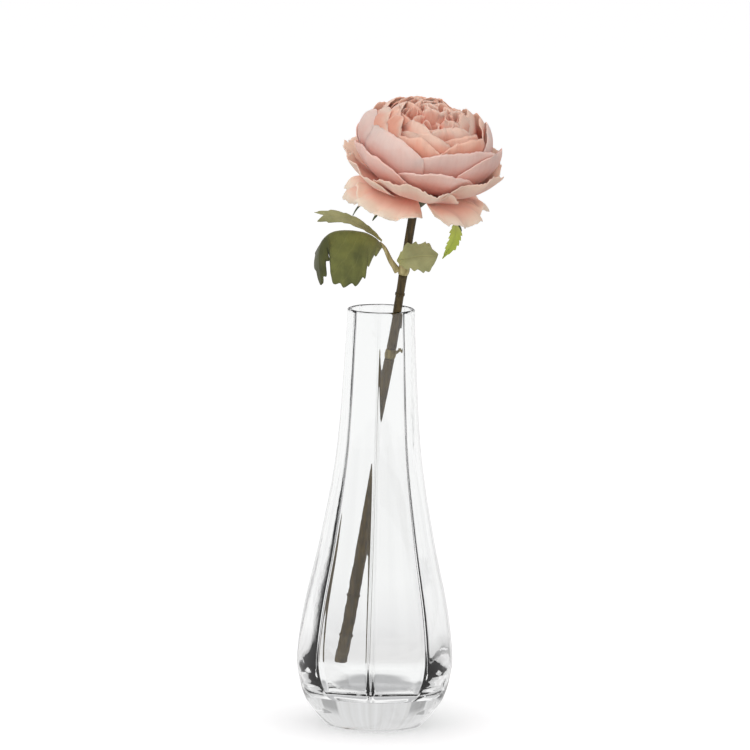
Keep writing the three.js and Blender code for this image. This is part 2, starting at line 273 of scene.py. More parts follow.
def make_vase():
    rings = [vase_ring(lambda angle: FOOT_RADIUS * share, 0) for share in (0.02, 0.5, 0.9)]
    rings.append(vase_ring(lambda angle: FOOT_RADIUS, 0.05))
    for k in range(OUTER_ROWS + 1):
        radius, height = spline(OUTER_PROFILE, k / OUTER_ROWS)
        rings.append(vase_ring(lambda angle: radius, height))
    rim_middle = (OUTER_PROFILE[-1][0] + INNER_PROFILE[0][0]) / 2
    rim_half = (OUTER_PROFILE[-1][0] - INNER_PROFILE[0][0]) / 2
    for k in range(1, LIP_ROWS):
        fade = k / LIP_ROWS
        turn = math.pi * fade
        rings.append(vase_ring(
            lambda angle: rim_middle + rim_half * math.cos(turn) + fade * (
                GROOVE_AT_RIM * groove_share(angle) - BULGE_AT_RIM * bulge_share(angle)),
            VASE_HEIGHT - RIM_ROUNDING + RIM_ROUNDING * math.sin(turn)))
    for k in range(INNER_ROWS + 1):
        radius, height = spline(INNER_PROFILE, k / INNER_ROWS)
        rise = (height - FLOOR_HEIGHT) / (VASE_HEIGHT - FLOOR_HEIGHT)
        depth = mix(GROOVE_AT_FLOOR, GROOVE_AT_RIM, rise)
        bulge = mix(BULGE_AT_FLOOR, BULGE_AT_RIM, rise)
        rings.append(vase_ring(
            lambda angle: radius + depth * groove_share(angle) - bulge * bulge_share(angle), height))
    for share, sink in ((0.8, 0.35), (0.6, 0.5), (0.3, 0.58), (0.02, 0.6)):
        rings.append(vase_ring(
            lambda angle: (INNER_PROFILE[-1][0] - BULGE_AT_FLOOR * bulge_share(angle)) * share,
            INNER_PROFILE[-1][1] - sink))
    around = len(rings[0])
    points = [p for ring in rings for p in ring]
    faces = ring_faces(len(rings), around)
    faces.append(tuple(reversed(range(around))))
    faces.append(tuple(range(len(points) - around, len(points))))
    vase = mesh_object("vase_glass_visual", points, faces, glass_material())
    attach(vase, "vase")
    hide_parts("vase_glass")


make_vase()

# ---------------------------------------------------------------- building blocks for the flower


class Shape:
    """Points, faces and per-point numbers gathered for one piece."""

    def __init__(self):
        self.points, self.faces, self.values = [], [], {}

    def grid(self, rows, columns, point_at, closed=False):
        """Adds a sheet of quads. point_at(u, v) gives a point and a dict of numbers, for u across and
        v along, both from 0 to 1. A closed sheet is a tube with its two sides joined."""
        start = len(self.points)
        count = columns if closed else columns + 1
        for j in range(rows + 1):
            for i in range(count):
                point, numbers = point_at(i / columns, j / rows)
                self.points.append(point)
                for key, number in numbers.items():
                    self.values.setdefault(key, []).append(number)
        for j in range(rows):
            for i in range(columns):
                a, b = start + j * count + i, start + j * count + (i + 1) % count
                self.faces.append((a, b, b + count, a + count))
        return start, count

    def cap(self, start, count, flip=False):
        ring = list(range(start, start + count))
        self.faces.append(tuple(reversed(ring)) if flip else tuple(ring))

    def piece(self, node, material, body, slot, place, thickness=0.0):
        """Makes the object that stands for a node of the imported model. A sheet gets a thickness."""
        made = mesh_object(node + "_visual", self.points, self.faces, material, place, values=self.values)
        if thickness:
            thick = made.modifiers.new("thickness", "SOLIDIFY")
            thick.thickness, thick.offset = thickness * MM, 0
        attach(made, body)
        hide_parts(node)


def wander(x, y=0.0, z=0.0):
    """Smooth noise from -1 to 1."""
    return noise.noise(Vector((x, y, z)))


def curve_tangent(points, t):
    ahead, behind = Vector(spline(points, min(t + 0.01, 1))), Vector(spline(points, max(t - 0.01, 0)))
    return (ahead - behind).normalized()


# ---------------------------------------------------------------- fabric, leaf and plastic materials


def petal_material(name, deep, middle, edge, inside, deep_to=0.15):
    """Dyed satin: deeper at the foot of a petal, pale at its edge, with pressed veins and a weave. The deep
    colour at the foot is partly the dye and partly painted coral glow, standing in for light that shines
    through the petals into the shaded crevices there. The colours are srgb codes, and deep_to is how far up a
    petal the deep one reaches."""
    deep, middle, edge, inside = map(srgb, (deep, middle, edge, inside))
    n = Nodes(bpy.data.materials.new(name))
    along, across, tint = n.attribute("along"), n.attribute("across"), n.attribute("tint")
    place = n.add("TexCoord").outputs["Object"]
    cloud = n.add("TexNoise", {"Vector": place, "Scale": 55.0, "Detail": 3.0}).outputs["Fac"]
    # partly dye, partly painted glow: the foot of each petal, where the crevices are, takes the deep coral
    # colour
    dye_and_glow_along = n.math("ADD", along, n.math("MULTIPLY", n.math("SUBTRACT", cloud, 0.5), 0.5))
    colour = n.ramp(dye_and_glow_along, [(deep_to, deep), (deep_to + 0.4, middle), (0.98, edge)], "EASE")
    warmer = n.math("MULTIPLY", tint, 0.55)
    colour = n.mixed(warmer, colour, inside)
    grid = n.add("CombineXYZ", {"X": across, "Y": along})
    veins = n.add("TexNoise", {
        "Vector": n.add("Mapping", {"Vector": grid.outputs[0], "Scale": (15.0, 1.3, 1.0)}).outputs[0],
        "Scale": 1.0, "Detail": 3.0,
    }).outputs["Fac"]
    streak = n.ramp(veins, [(0.35, (0.93, 0.9, 0.89)), (0.6, (1.0, 1.0, 1.0))])
    colour = n.mixed(0.4, colour, streak, "MULTIPLY")
    weave_x = n.add("TexWave", {"Vector": place, "Scale": 520.0}, bands_direction="DIAGONAL").outputs["Fac"]
    weave_z = n.add("TexWave", {"Vector": place, "Scale": 640.0}, bands_direction="Z").outputs["Fac"]
    weave = n.math("MULTIPLY", weave_x, weave_z)
    height = n.math("ADD", n.math("MULTIPLY", veins, 1.0), n.math("MULTIPLY", weave, 0.12))
    bump = n.add("Bump", {"Strength": 0.16, "Distance": 0.0006, "Height": height})
    shader = n.add("BsdfPrincipled", {
        "Base Color": colour, "Normal": bump.outputs[0], "Roughness": 0.8, "Sheen Weight": 0.25,
        "Sheen Roughness": 0.4, "Specular IOR Level": 0.25, "Subsurface Weight": 0.5,
        "Subsurface Radius": (1.0, 0.7, 0.62), "Subsurface Scale": 0.004,
    })
    n.surface(shader.outputs[0])
    return n.owner


def leaf_material(name, dark, light, rib, painted_tip_shade=0.0):
    """Printed leaf fabric with pale pressed veins. The colours are srgb codes, and the last argument is how
    strongly painted shade darkens the drooping end, as if it were turned away from the light."""
    dark, light, rib = map(srgb, (dark, light, rib))
    n = Nodes(bpy.data.materials.new(name))
    along, across = n.attribute("along"), n.attribute("across")
    place = n.add("TexCoord").outputs["Object"]
    cloud = n.add("TexNoise", {"Vector": place, "Scale": 90.0, "Detail": 4.0}).outputs["Fac"]
    colour = n.ramp(cloud, [(0.32, dark), (0.66, light)])
    off_rib = n.math("ABSOLUTE", across)
    slanted = n.math("SUBTRACT", n.math("MULTIPLY", along, 9.0), n.math("MULTIPLY", off_rib, 3.2))
    ridge = n.math("PINGPONG", slanted, 0.5)
    side_vein = n.ramp(ridge, [(0.0, (1, 1, 1)), (0.09, (0, 0, 0))])
    middle = n.ramp(off_rib, [(0.0, (1, 1, 1)), (0.05, (0, 0, 0))])
    veins = n.math("MAXIMUM", n.math("MULTIPLY", side_vein, 0.3), middle)
    foot = n.ramp(along, [(0.0, (1, 1, 1)), (0.3, (0, 0, 0))])
    pale = n.math("MAXIMUM", n.math("MULTIPLY", veins, 0.45), n.math("MULTIPLY", foot, 0.75), clamp=True)
    colour = n.mixed(pale, colour, rib)
    # painted shade: the drooping end of the leaf is darkened as if it were turned away from the light
    shade = n.ramp(along, [(0.6, (0, 0, 0)), (0.68, (1, 1, 1))])
    colour = n.mixed(n.math("MULTIPLY", shade, painted_tip_shade), colour, dark, "MULTIPLY")
    cloth = n.add("TexNoise", {"Vector": place, "Scale": 1400.0, "Detail": 2.0}).outputs["Fac"]
    height = n.math("SUBTRACT", n.math("MULTIPLY", cloth, 0.3), veins)
    bump = n.add("Bump", {"Strength": 0.5, "Distance": 0.0005, "Height": height})
    shader = n.add("BsdfPrincipled", {
        "Base Color": colour, "Normal": bump.outputs[0], "Roughness": 0.62, "Sheen Weight": 0.15,
        "Specular IOR Level": 0.4,
    })
    n.surface(shader.outputs[0])
    return n.owner


LENGTHWISE_GRAIN = (900.0, 900.0, 60.0)


def plastic_material(name, dark, light, roughness=0.6):
    """Moulded plastic with lengthwise streaks and worn, paler spots, between two srgb codes."""
    dark, light = srgb(dark), srgb(light)
    n = Nodes(bpy.data.materials.new(name))
    place = n.add("TexCoord").outputs["Object"]
    streaks = n.add("TexNoise", {
        "Vector": n.add("Mapping", {"Vector": place, "Scale": LENGTHWISE_GRAIN}).outputs[0],
        "Scale": 1.0, "Detail": 4.0,
    }).outputs["Fac"]
    colour = n.ramp(streaks, [(0.35, dark), (0.68, light)])
    spots = n.add("TexNoise", {"Vector": place, "Scale": 260.0, "Detail": 3.0}).outputs["Fac"]
    worn = n.ramp(spots, [(0.62, (0, 0, 0)), (0.72, (1, 1, 1))])
    colour = n.mixed(n.math("MULTIPLY", worn, 0.5), colour, light)
    rough = n.math("MULTIPLY_ADD", streaks, 0.25)
    rough.node.inputs[2].default_value = roughness - 0.12
    bump = n.add("Bump", {"Strength": 0.5, "Distance": 0.0004, "Height": streaks})
    shader = n.add("BsdfPrincipled", {
        "Base Color": colour, "Normal": bump.outputs[0], "Roughness": rough, "Specular IOR Level": 0.4,
    })
    n.surface(shader.outputs[0])
    return n.owner


# The first (deep) colour of each petal material is partly dye and partly painted coral glow of the crevices.
CREAM = petal_material("petal_cream", "f08d7a", "f2b7a3", "f2dac2", "f3a692")
PINK = petal_material("petal_pink", "f28a76", "f4b2a4", "f4cdc0", "f4a494")
CORAL = petal_material("petal_coral", "f07a62", "f49f88", "f5c8b3", "f4a188", deep_to=0.36)
APRICOT = petal_material("petal_apricot", "f27e64", "f4a590", "f5ccb8", "f5a68c", deep_to=0.38)
# the large leaf's drooping end gets painted shade
LEAF_DARK = leaf_material("leaf_dark", "51552a", "6f7238", "8b8b52", painted_tip_shade=0.6)
LEAF_PALE = leaf_material("leaf_pale", "82845a", "a3a271", "b3b370")
LEAF_BRACT = leaf_material("leaf_bract", "9fb03c", "bccb5e", "d6dd92")
SEPAL = leaf_material("sepal_fabric", "37462a", "55653c", "6c7a4a")
BARK = plastic_material("stem_bark", "32270f", "574725")
KNUCKLE = plastic_material("knuckle_plastic", "574823", "897a4a")
NODE_PLASTIC = plastic_material("node_plastic", "8f8152", "bdb07f", roughness=0.55)
CALYX = plastic_material("calyx_plastic", "3b3a20", "585632")
CORE = plastic_material("core_plastic", "c08f66", "dcb890")


# ---------------------------------------------------------------- stem

STEM_RADIUS = 2.4
KNUCKLE_AT, KNUCKLE_LENGTH = 182.3, 5
COLLAR_AT, COLLAR_LENGTH = 230.3, 6
JOINT_GAP = 0.3  # between the end of a sleeve and the ring beside it
STEM_TOP = (HEAD_FOOT - STEM_FOOT).length
STEM_PLACE = turned_towards(STEM_LINE, STEM_FOOT)


def tube(shape, low, high, radius_at, step=1.2):
    """A closed tube along +Z between two heights, with a radius for each height and angle."""
    rows, around = max(3, round((high - low) / step)), 28

    def point_at(u, v):
        height, angle = mix(low, high, v), u * TAU
        radius = radius_at(height, angle)
        return Vector((radius * math.cos(angle), radius * math.sin(angle), height)), {}

    start, count = shape.grid(rows, around, point_at, closed=True)
    shape.cap(start, count, flip=True)
    shape.cap(start + rows * count, count)


def sleeve_radius(low, high, swelling_low, swelling_high):
    def radius_at(height, angle):
        wavy = 0.1 * wander(height * 0.07, math.cos(angle), math.sin(angle))
        ribs = 0.05 * math.sin(7 * angle + 0.03 * height)
        scars = 0.12 * smoothstep(0.55, 0.8, wander(height * 0.11, 40))
        low_end = swelling_low * math.exp(-((height - low) / 1.6))
        high_end = swelling_high * math.exp(-((high - height) / 1.6))
        rounded = 0.25 * (math.exp(-(height - low) / 0.25) + math.exp(-(high - height) / 0.25))
        return STEM_RADIUS - 0.1 + wavy + ribs + scars + low_end + high_end - rounded
    return radius_at


def make_stem():
    for name, low, high, swell_low, swell_high in (
            ("stem_lower", 0.0, KNUCKLE_AT - JOINT_GAP, 0.1, 0.15),
            ("stem_middle", KNUCKLE_AT + KNUCKLE_LENGTH + JOINT_GAP, COLLAR_AT - JOINT_GAP, 0.15, 0.3),
            ("stem_upper", COLLAR_AT + COLLAR_LENGTH + JOINT_GAP, STEM_TOP - 0.1, 0.3, 0.0)):
        shape = Shape()
        tube(shape, low, high, sleeve_radius(low, high, swell_low, swell_high))
        if name == "stem_lower":  # rings left by the mould
            for at_height in (19.0, 43.0):
                tube(shape, at_height, at_height + 0.9, lambda h, a: STEM_RADIUS + 0.22, step=0.3)
        if name == "stem_middle":
            tube(shape, high - 11.5, high - 10.4, lambda h, a: STEM_RADIUS + 0.28, step=0.3)
        shape.piece(name, BARK, "stem", "stem_bark", STEM_PLACE)

    shape = Shape()
    tube(shape, KNUCKLE_AT, KNUCKLE_AT + KNUCKLE_LENGTH, lambda h, a: STEM_RADIUS + 0.35
         * math.sin(math.pi * (h - KNUCKLE_AT) / KNUCKLE_LENGTH)
         + 0.08 * wander(h, math.cos(a) * 2, math.sin(a) * 2))
    stub = [(1.5, 2.6), (3.4, 3.0), (4.5, 3.9), (4.8, 5.2)]

    def stub_point(u, v):
        out, up = spline(stub, v)
        radius = 0.95 * (1 - 0.45 * v)
        side = radius * math.cos(u * TAU)
        lift = radius * math.sin(u * TAU)
        slant = v * 0.9
        out += -lift * math.sin(slant)
        up += lift * math.cos(slant)
        return Vector((0.8 * out - 0.6 * side, 0.6 * out + 0.8 * side, KNUCKLE_AT + up)), {}

    start, count = shape.grid(10, 14, stub_point, closed=True)
    shape.cap(start + 10 * count, count)
    shape.piece("stem_knuckle", KNUCKLE, "stem", "node_plastic", STEM_PLACE)

    shape = Shape()
    tube(shape, COLLAR_AT, COLLAR_AT + COLLAR_LENGTH, lambda h, a: STEM_RADIUS + 0.3 + 0.5
         * math.sin(math.pi * (h - COLLAR_AT) / COLLAR_LENGTH) ** 0.7
         + 0.12 * wander(h * 0.8, math.cos(a) * 2, math.sin(a) * 2))
    shape.piece("leaf_collar", NODE_PLASTIC, "leaf_spray", "node_plastic", STEM_PLACE)


def rod(shape, points, start_radius, end_radius):
    """A round, slightly uneven rod along a curve."""
    rows, around = 24, 16
    up = Vector((0.1, -1, 0.2)).normalized()

    def point_at(u, v):
        middle, forward = Vector(spline(points, v)), curve_tangent(points, v)
        side = forward.cross(up).normalized()
        other = side.cross(forward)
        radius = mix(start_radius, end_radius, v) * (1 + 0.06 * wander(v * 6, u * 2))
        angle = u * TAU
        return middle + side * (radius * math.cos(angle)) + other * (radius * math.sin(angle)), {}

    start, count = shape.grid(rows, around, point_at, closed=True)
    shape.cap(start, count, flip=True)
    shape.cap(start + rows * count, count)


make_stem()


# ---------------------------------------------------------------- leaves


def blade(shape, midrib, sides, rows, across, waves):
    """A hanging leaf blade. Each side has the direction it slopes away along, and a half-width for each
    place along the midrib. Its edges trail a little towards the tip, and waves lift it."""

    def point_at(u, v):
        a = 2 * u - 1
        slope, half_width = sides[0] if a < 0 else sides[1]
        rib = Vector(spline(midrib, v))
        reach = half_width(v) * abs(a)
        forward = curve_tangent(midrib, v)
        normal = forward.cross(slope).normalized() * (1 if a > 0 else -1)
        lift = waves * abs(a) * wander(v * 5, a * 1.6)
        lift -= 0.35 * math.exp(-(a / 0.05) ** 2)
        lean = slope * reach + forward * (0.12 * reach)
        return rib + lean + normal * lift, {"along": v, "across": a}

    shape.grid(rows, 2 * across, point_at)


def toothed(outline, teeth, depth, seed):
    """A half-width from [place, width] points, with saw teeth that point to the tip."""
    def half_width(t):
        width = outline[-1][1]
        for (t0, w0), (t1, w1) in zip(outline, outline[1:]):
            if t0 <= t <= t1:
                width = mix(w0, w1, smoothstep(t0, t1, t))
                break
        saw = (t * teeth + 0.3 * wander(t * 9, seed)) % 1
        return max(0.15, width + depth * min(1, width / 5) * (saw - 0.5))
    return half_width


def unit(x, y, z):
    return Vector((x, y, z)).normalized()


def spread(shape, stations, belly, teeth, depth, seed, rows=90, across=16):
    """A leaf through stations from its root to its tip. Each station is the midrib and the two edges.
    belly lifts the blade between them, and its edges have teeth."""
    middle, front, back = ([station[k] for station in stations] for k in range(3))

    def point_at(u, v):
        a = 2 * u - 1
        share = abs(a)
        rib, rim = Vector(spline(middle, v)), Vector(spline(front if a < 0 else back, v))
        width = max((rim - rib).length, 0.1)
        saw = (v * teeth + 0.35 * wander(v * 7, a * 0.4, seed)) % 1
        tooth = depth * min(1, width / 6) * (smoothstep(0, 0.75, saw) - smoothstep(0.75, 1, saw) - 0.5)
        place = rib.lerp(rim, share * (1 + tooth / width))
        lift = 4 * share * (1 - share) * min(1, width / 12)
        place += Vector(belly) * (lift if a < 0 else -0.4 * lift)
        place.y += 1.1 * share * wander(v * 6 + seed, a * 1.8, seed)
        place.z -= 0.3 * math.exp(-(a / 0.05) ** 2)
        return place, {"along": v, "across": a}

    shape.grid(rows, 2 * across, point_at)


def make_leaves():
    spray = Matrix.Translation(COLLAR)

    shape = Shape()
    rod(shape, [
        (-3.4, -0.8, -1.2), (-5.2, -1.1, 1.6), (-7.6, -1.6, 5.2), (-10.6, -2.2, 11.4), (-13.6, -2.9, 14.6),
    ], 2.0, 0.8)
    shape.piece("leaf_stalk_left", NODE_PLASTIC, "leaf_spray", "node_plastic", spray)

    shape = Shape()
    spread(shape, [
        ((-11.8, -2.5, 12.8), (-11.8, -3.0, 12.2), (-11.8, -2, 12.6)),
        ((-15, -3.2, 16.6), (-15.8, -7, 7.8), (-15.5, 2, 14)),
        ((-20, -4.2, 19.8), (-19.4, -9.5, 2.8), (-19, 7, 12)),
        ((-26, -5.2, 21.2), (-21.6, -11.5, -3.8), (-23, 11, 9)),
        ((-31, -6, 21.6), (-27, -12.5, -7.4), (-28, 13, 7)),
        ((-35.5, -6.6, 21.4), (-34.5, -13, -7.6), (-33, 12, 8)),
        ((-39, -7.2, 20.6), (-39, -12.5, -4.5), (-38, 8, 12)),
        ((-42, -8, 18.8), (-40, -11.5, 3.5), (-42, 3, 15)),
        ((-44.8, -8.8, 15.2), (-40.8, -11, 9), (-46, 1, 12)),
        ((-46.4, -9.8, 8.5), (-41.6, -12, 3.5), (-48.5, -3, 6)),
        ((-46, -10.6, 0.5), (-42.6, -12.5, -3), (-47.5, -7, -2)),
        ((-44.7, -11, -7.8), (-44.3, -11.4, -8), (-45, -10.8, -8)),
    ], (1.0, -2.6, 2.0), 11, 2.2, rows=130, across=22, seed=2.0)
    shape.piece("leaf_large_left", LEAF_DARK, "leaf_spray", "leaf_dark", spray, 0.35)

    shape = Shape()
    spread(shape, [
        ((-12.2, 1.6, 15), (-12.2, 1.2, 14.6), (-12.2, 1.8, 15.4)),
        ((-17.5, 4, 19.2), (-17.6, 2.8, 18), (-17, 5, 20.4)),
        ((-24, 6.2, 23), (-24.5, 4, 21.4), (-24, 8.4, 25.3)),
        ((-31, 8, 25.8), (-32, 4.6, 24), (-31.5, 11, 28.4)),
        ((-38, 9, 27.2), (-40, 4.8, 24.2), (-40, 12.6, 29.8)),
        ((-43.9, 9.2, 27.6), (-47.5, 4.8, 24.7), (-49.6, 13, 28.6)),
    ], (0, 0, 0.4), 6, 0.9, across=10, seed=6.0)
    shape.piece("leaf_upper_narrow", LEAF_PALE, "leaf_spray", "leaf_pale", spray, 0.3)

    shape = Shape()
    spread(shape, [
        ((-3.9, -5.8, 5.4), (-3.9, -5.9, 5.0), (-3.9, -5.8, 5.8)),
        ((-1, -7, 6.4), (-1.8, -7, 2.9), (-1.6, -7, 10.6)),
        ((2.5, -8.6, 7.4), (1.5, -8.6, 1.6), (1.4, -8, 14.8)),
        ((6, -9.8, 8.4), (5.5, -10, 1.0), (5.5, -8.8, 15.6)),
        ((9.5, -10.8, 9), (9.5, -11, 0.4), (9.5, -9.6, 15.4)),
        ((12.8, -11.6, 9.3), (12.4, -11.8, 0.2), (12.4, -10.4, 16)),
        ((15.8, -12.2, 9.4), (15, -12.4, 2.6), (15.5, -11.6, 12.6)),
        ((18, -12.6, 9.2), (17.6, -12.7, 8), (18.3, -12.6, 10)),
    ], (0, -0.6, 0.2), 6, 1.3, seed=9.0)
    shape.piece("leaf_right_small", LEAF_PALE, "leaf_spray", "leaf_pale", spray, 0.3)


make_leaves()


# ---------------------------------------------------------------- flower head

HEAD_AXIS = Vector((0.15, -0.225, 0.965)).normalized()
HEAD_PLACE = turned_towards(HEAD_AXIS, HEAD_FOOT)
dice = random.Random(7)


def petal(shape, outline, turn, half_angle, tip=1.0, corner=0.3, twist=1.6, cup=0.0, curl=0.0, ruffle=1.0,
          waves=2.5, tooth=0.015, rise=0.0, middle=(0.0, 0.0), tint=None, seed=None, across=52, along=26):
    """One petal. outline gives the [radius, height] of its line from the foot to the edge. It spans
    half_angle to both sides of turn, in degrees. corner rounds its top, twist lets it lie over one
    neighbour and under the other, cup bends its sides out, curl rolls its edge out, and ruffle waves it."""
    seed = dice.uniform(0, 90) if seed is None else seed
    tint = dice.uniform(0, 1) if tint is None else tint
    turn, half_angle = math.radians(turn), math.radians(half_angle)

    def point_at(u, v):
        a = 2 * u - 1
        edge = tip * (1 - corner * abs(a) ** 2.6)
        edge += 0.035 * wander(a * 2.6, seed)
        edge += 1.6 * tooth * wander(a * 14, seed + 7) + tooth * wander(a * 37, seed)
        s = v * edge
        radius, height = spline(outline, s)
        ahead = spline(outline, s + 0.02)
        behind = spline(outline, s - 0.02)
        dr, dh = ahead[0] - behind[0], ahead[1] - behind[1]
        size = math.hypot(dr, dh) or 1
        past = max(s - 1, 0)
        radius, height = radius + past * dr / 0.04, height + past * dh / 0.04
        high = smoothstep(0.4, 1, v)
        out = twist * a * smoothstep(0.05, 0.5, s) + cup * a * a * smoothstep(0.2, 0.8, s)
        out += curl * smoothstep(0.78, 1, v) ** 1.6 * (1 + 0.5 * wander(a * 2, seed + 3))
        wave = 0.55 * math.sin(a * waves * math.pi + seed) + 0.9 * wander(a * 1.7, s * 1.4, seed)
        out += ruffle * high * wave
        out += ruffle * 0.5 * smoothstep(0.7, 1, v) * wander(a * 6, seed + 5)
        out += 0.12 * wander(a * 8, s * 1.3, seed + 11) * smoothstep(0.1, 0.4, v)
        out += 1.1 * wander(a * 1.5, s * 2.2, seed + 20) * smoothstep(0.15, 0.5, v)
        sector = half_angle * (0.72 + 0.28 * math.sin(math.pi * min(s, 1)))
        angle = turn + a * sector
        radius += out * dh / size
        height += -out * dr / size + rise * smoothstep(0.3, 1, v)
        point = Vector((radius * math.cos(angle) + middle[0], radius * math.sin(angle) + middle[1], height))
        return point, {"along": v, "across": a * half_angle * 1.2, "tint": tint}

    shape.grid(along, across, point_at)


# Radius and height of each layer's petals, from the foot to the edge.
SKIRT = [(3.4, 10), (18, 10.4), (30, 9.6), (37, 6.4), (41, 1)]
GUARD = [(3.4, 11.4), (20, 12.8), (34, 17.5), (42, 26), (44, 34)]
CUP_OUTER = [(3.4, 12.6), (20, 16), (33, 24.5), (39.2, 34), (39.4, 42)]
CUP_MIDDLE = [(3.4, 15.4), (19, 19.2), (31, 27.6), (36, 38), (34.5, 46), (29.5, 52)]
CUP_INNER = [(3.4, 18.6), (17, 22.4), (27.5, 30.8), (31.8, 41), (30, 50), (23.5, 56.5)]
HEART_OUTER = [(3.4, 21.8), (15, 25.4), (24, 33), (27.4, 43), (25.4, 52), (18.5, 58.5)]
HEART_INNER = [(3.4, 25), (12, 28.4), (19.5, 35), (22.6, 44), (20.5, 53), (13.5, 59.5)]
# One tuft stands in the middle and six on a circle around it.
TUFT_CIRCLE = 10.6
TUFT_TOPS = (60, 59, 58, 60, 57, 54, 57)
# Reach, number of petals, half-angle and how much lower than the top, for each ring of a tuft.
TUFT_RINGS = ((8.8, 1, 118, 2), (6.2, 2, 104, 1), (3.2, 1, 150, 0))


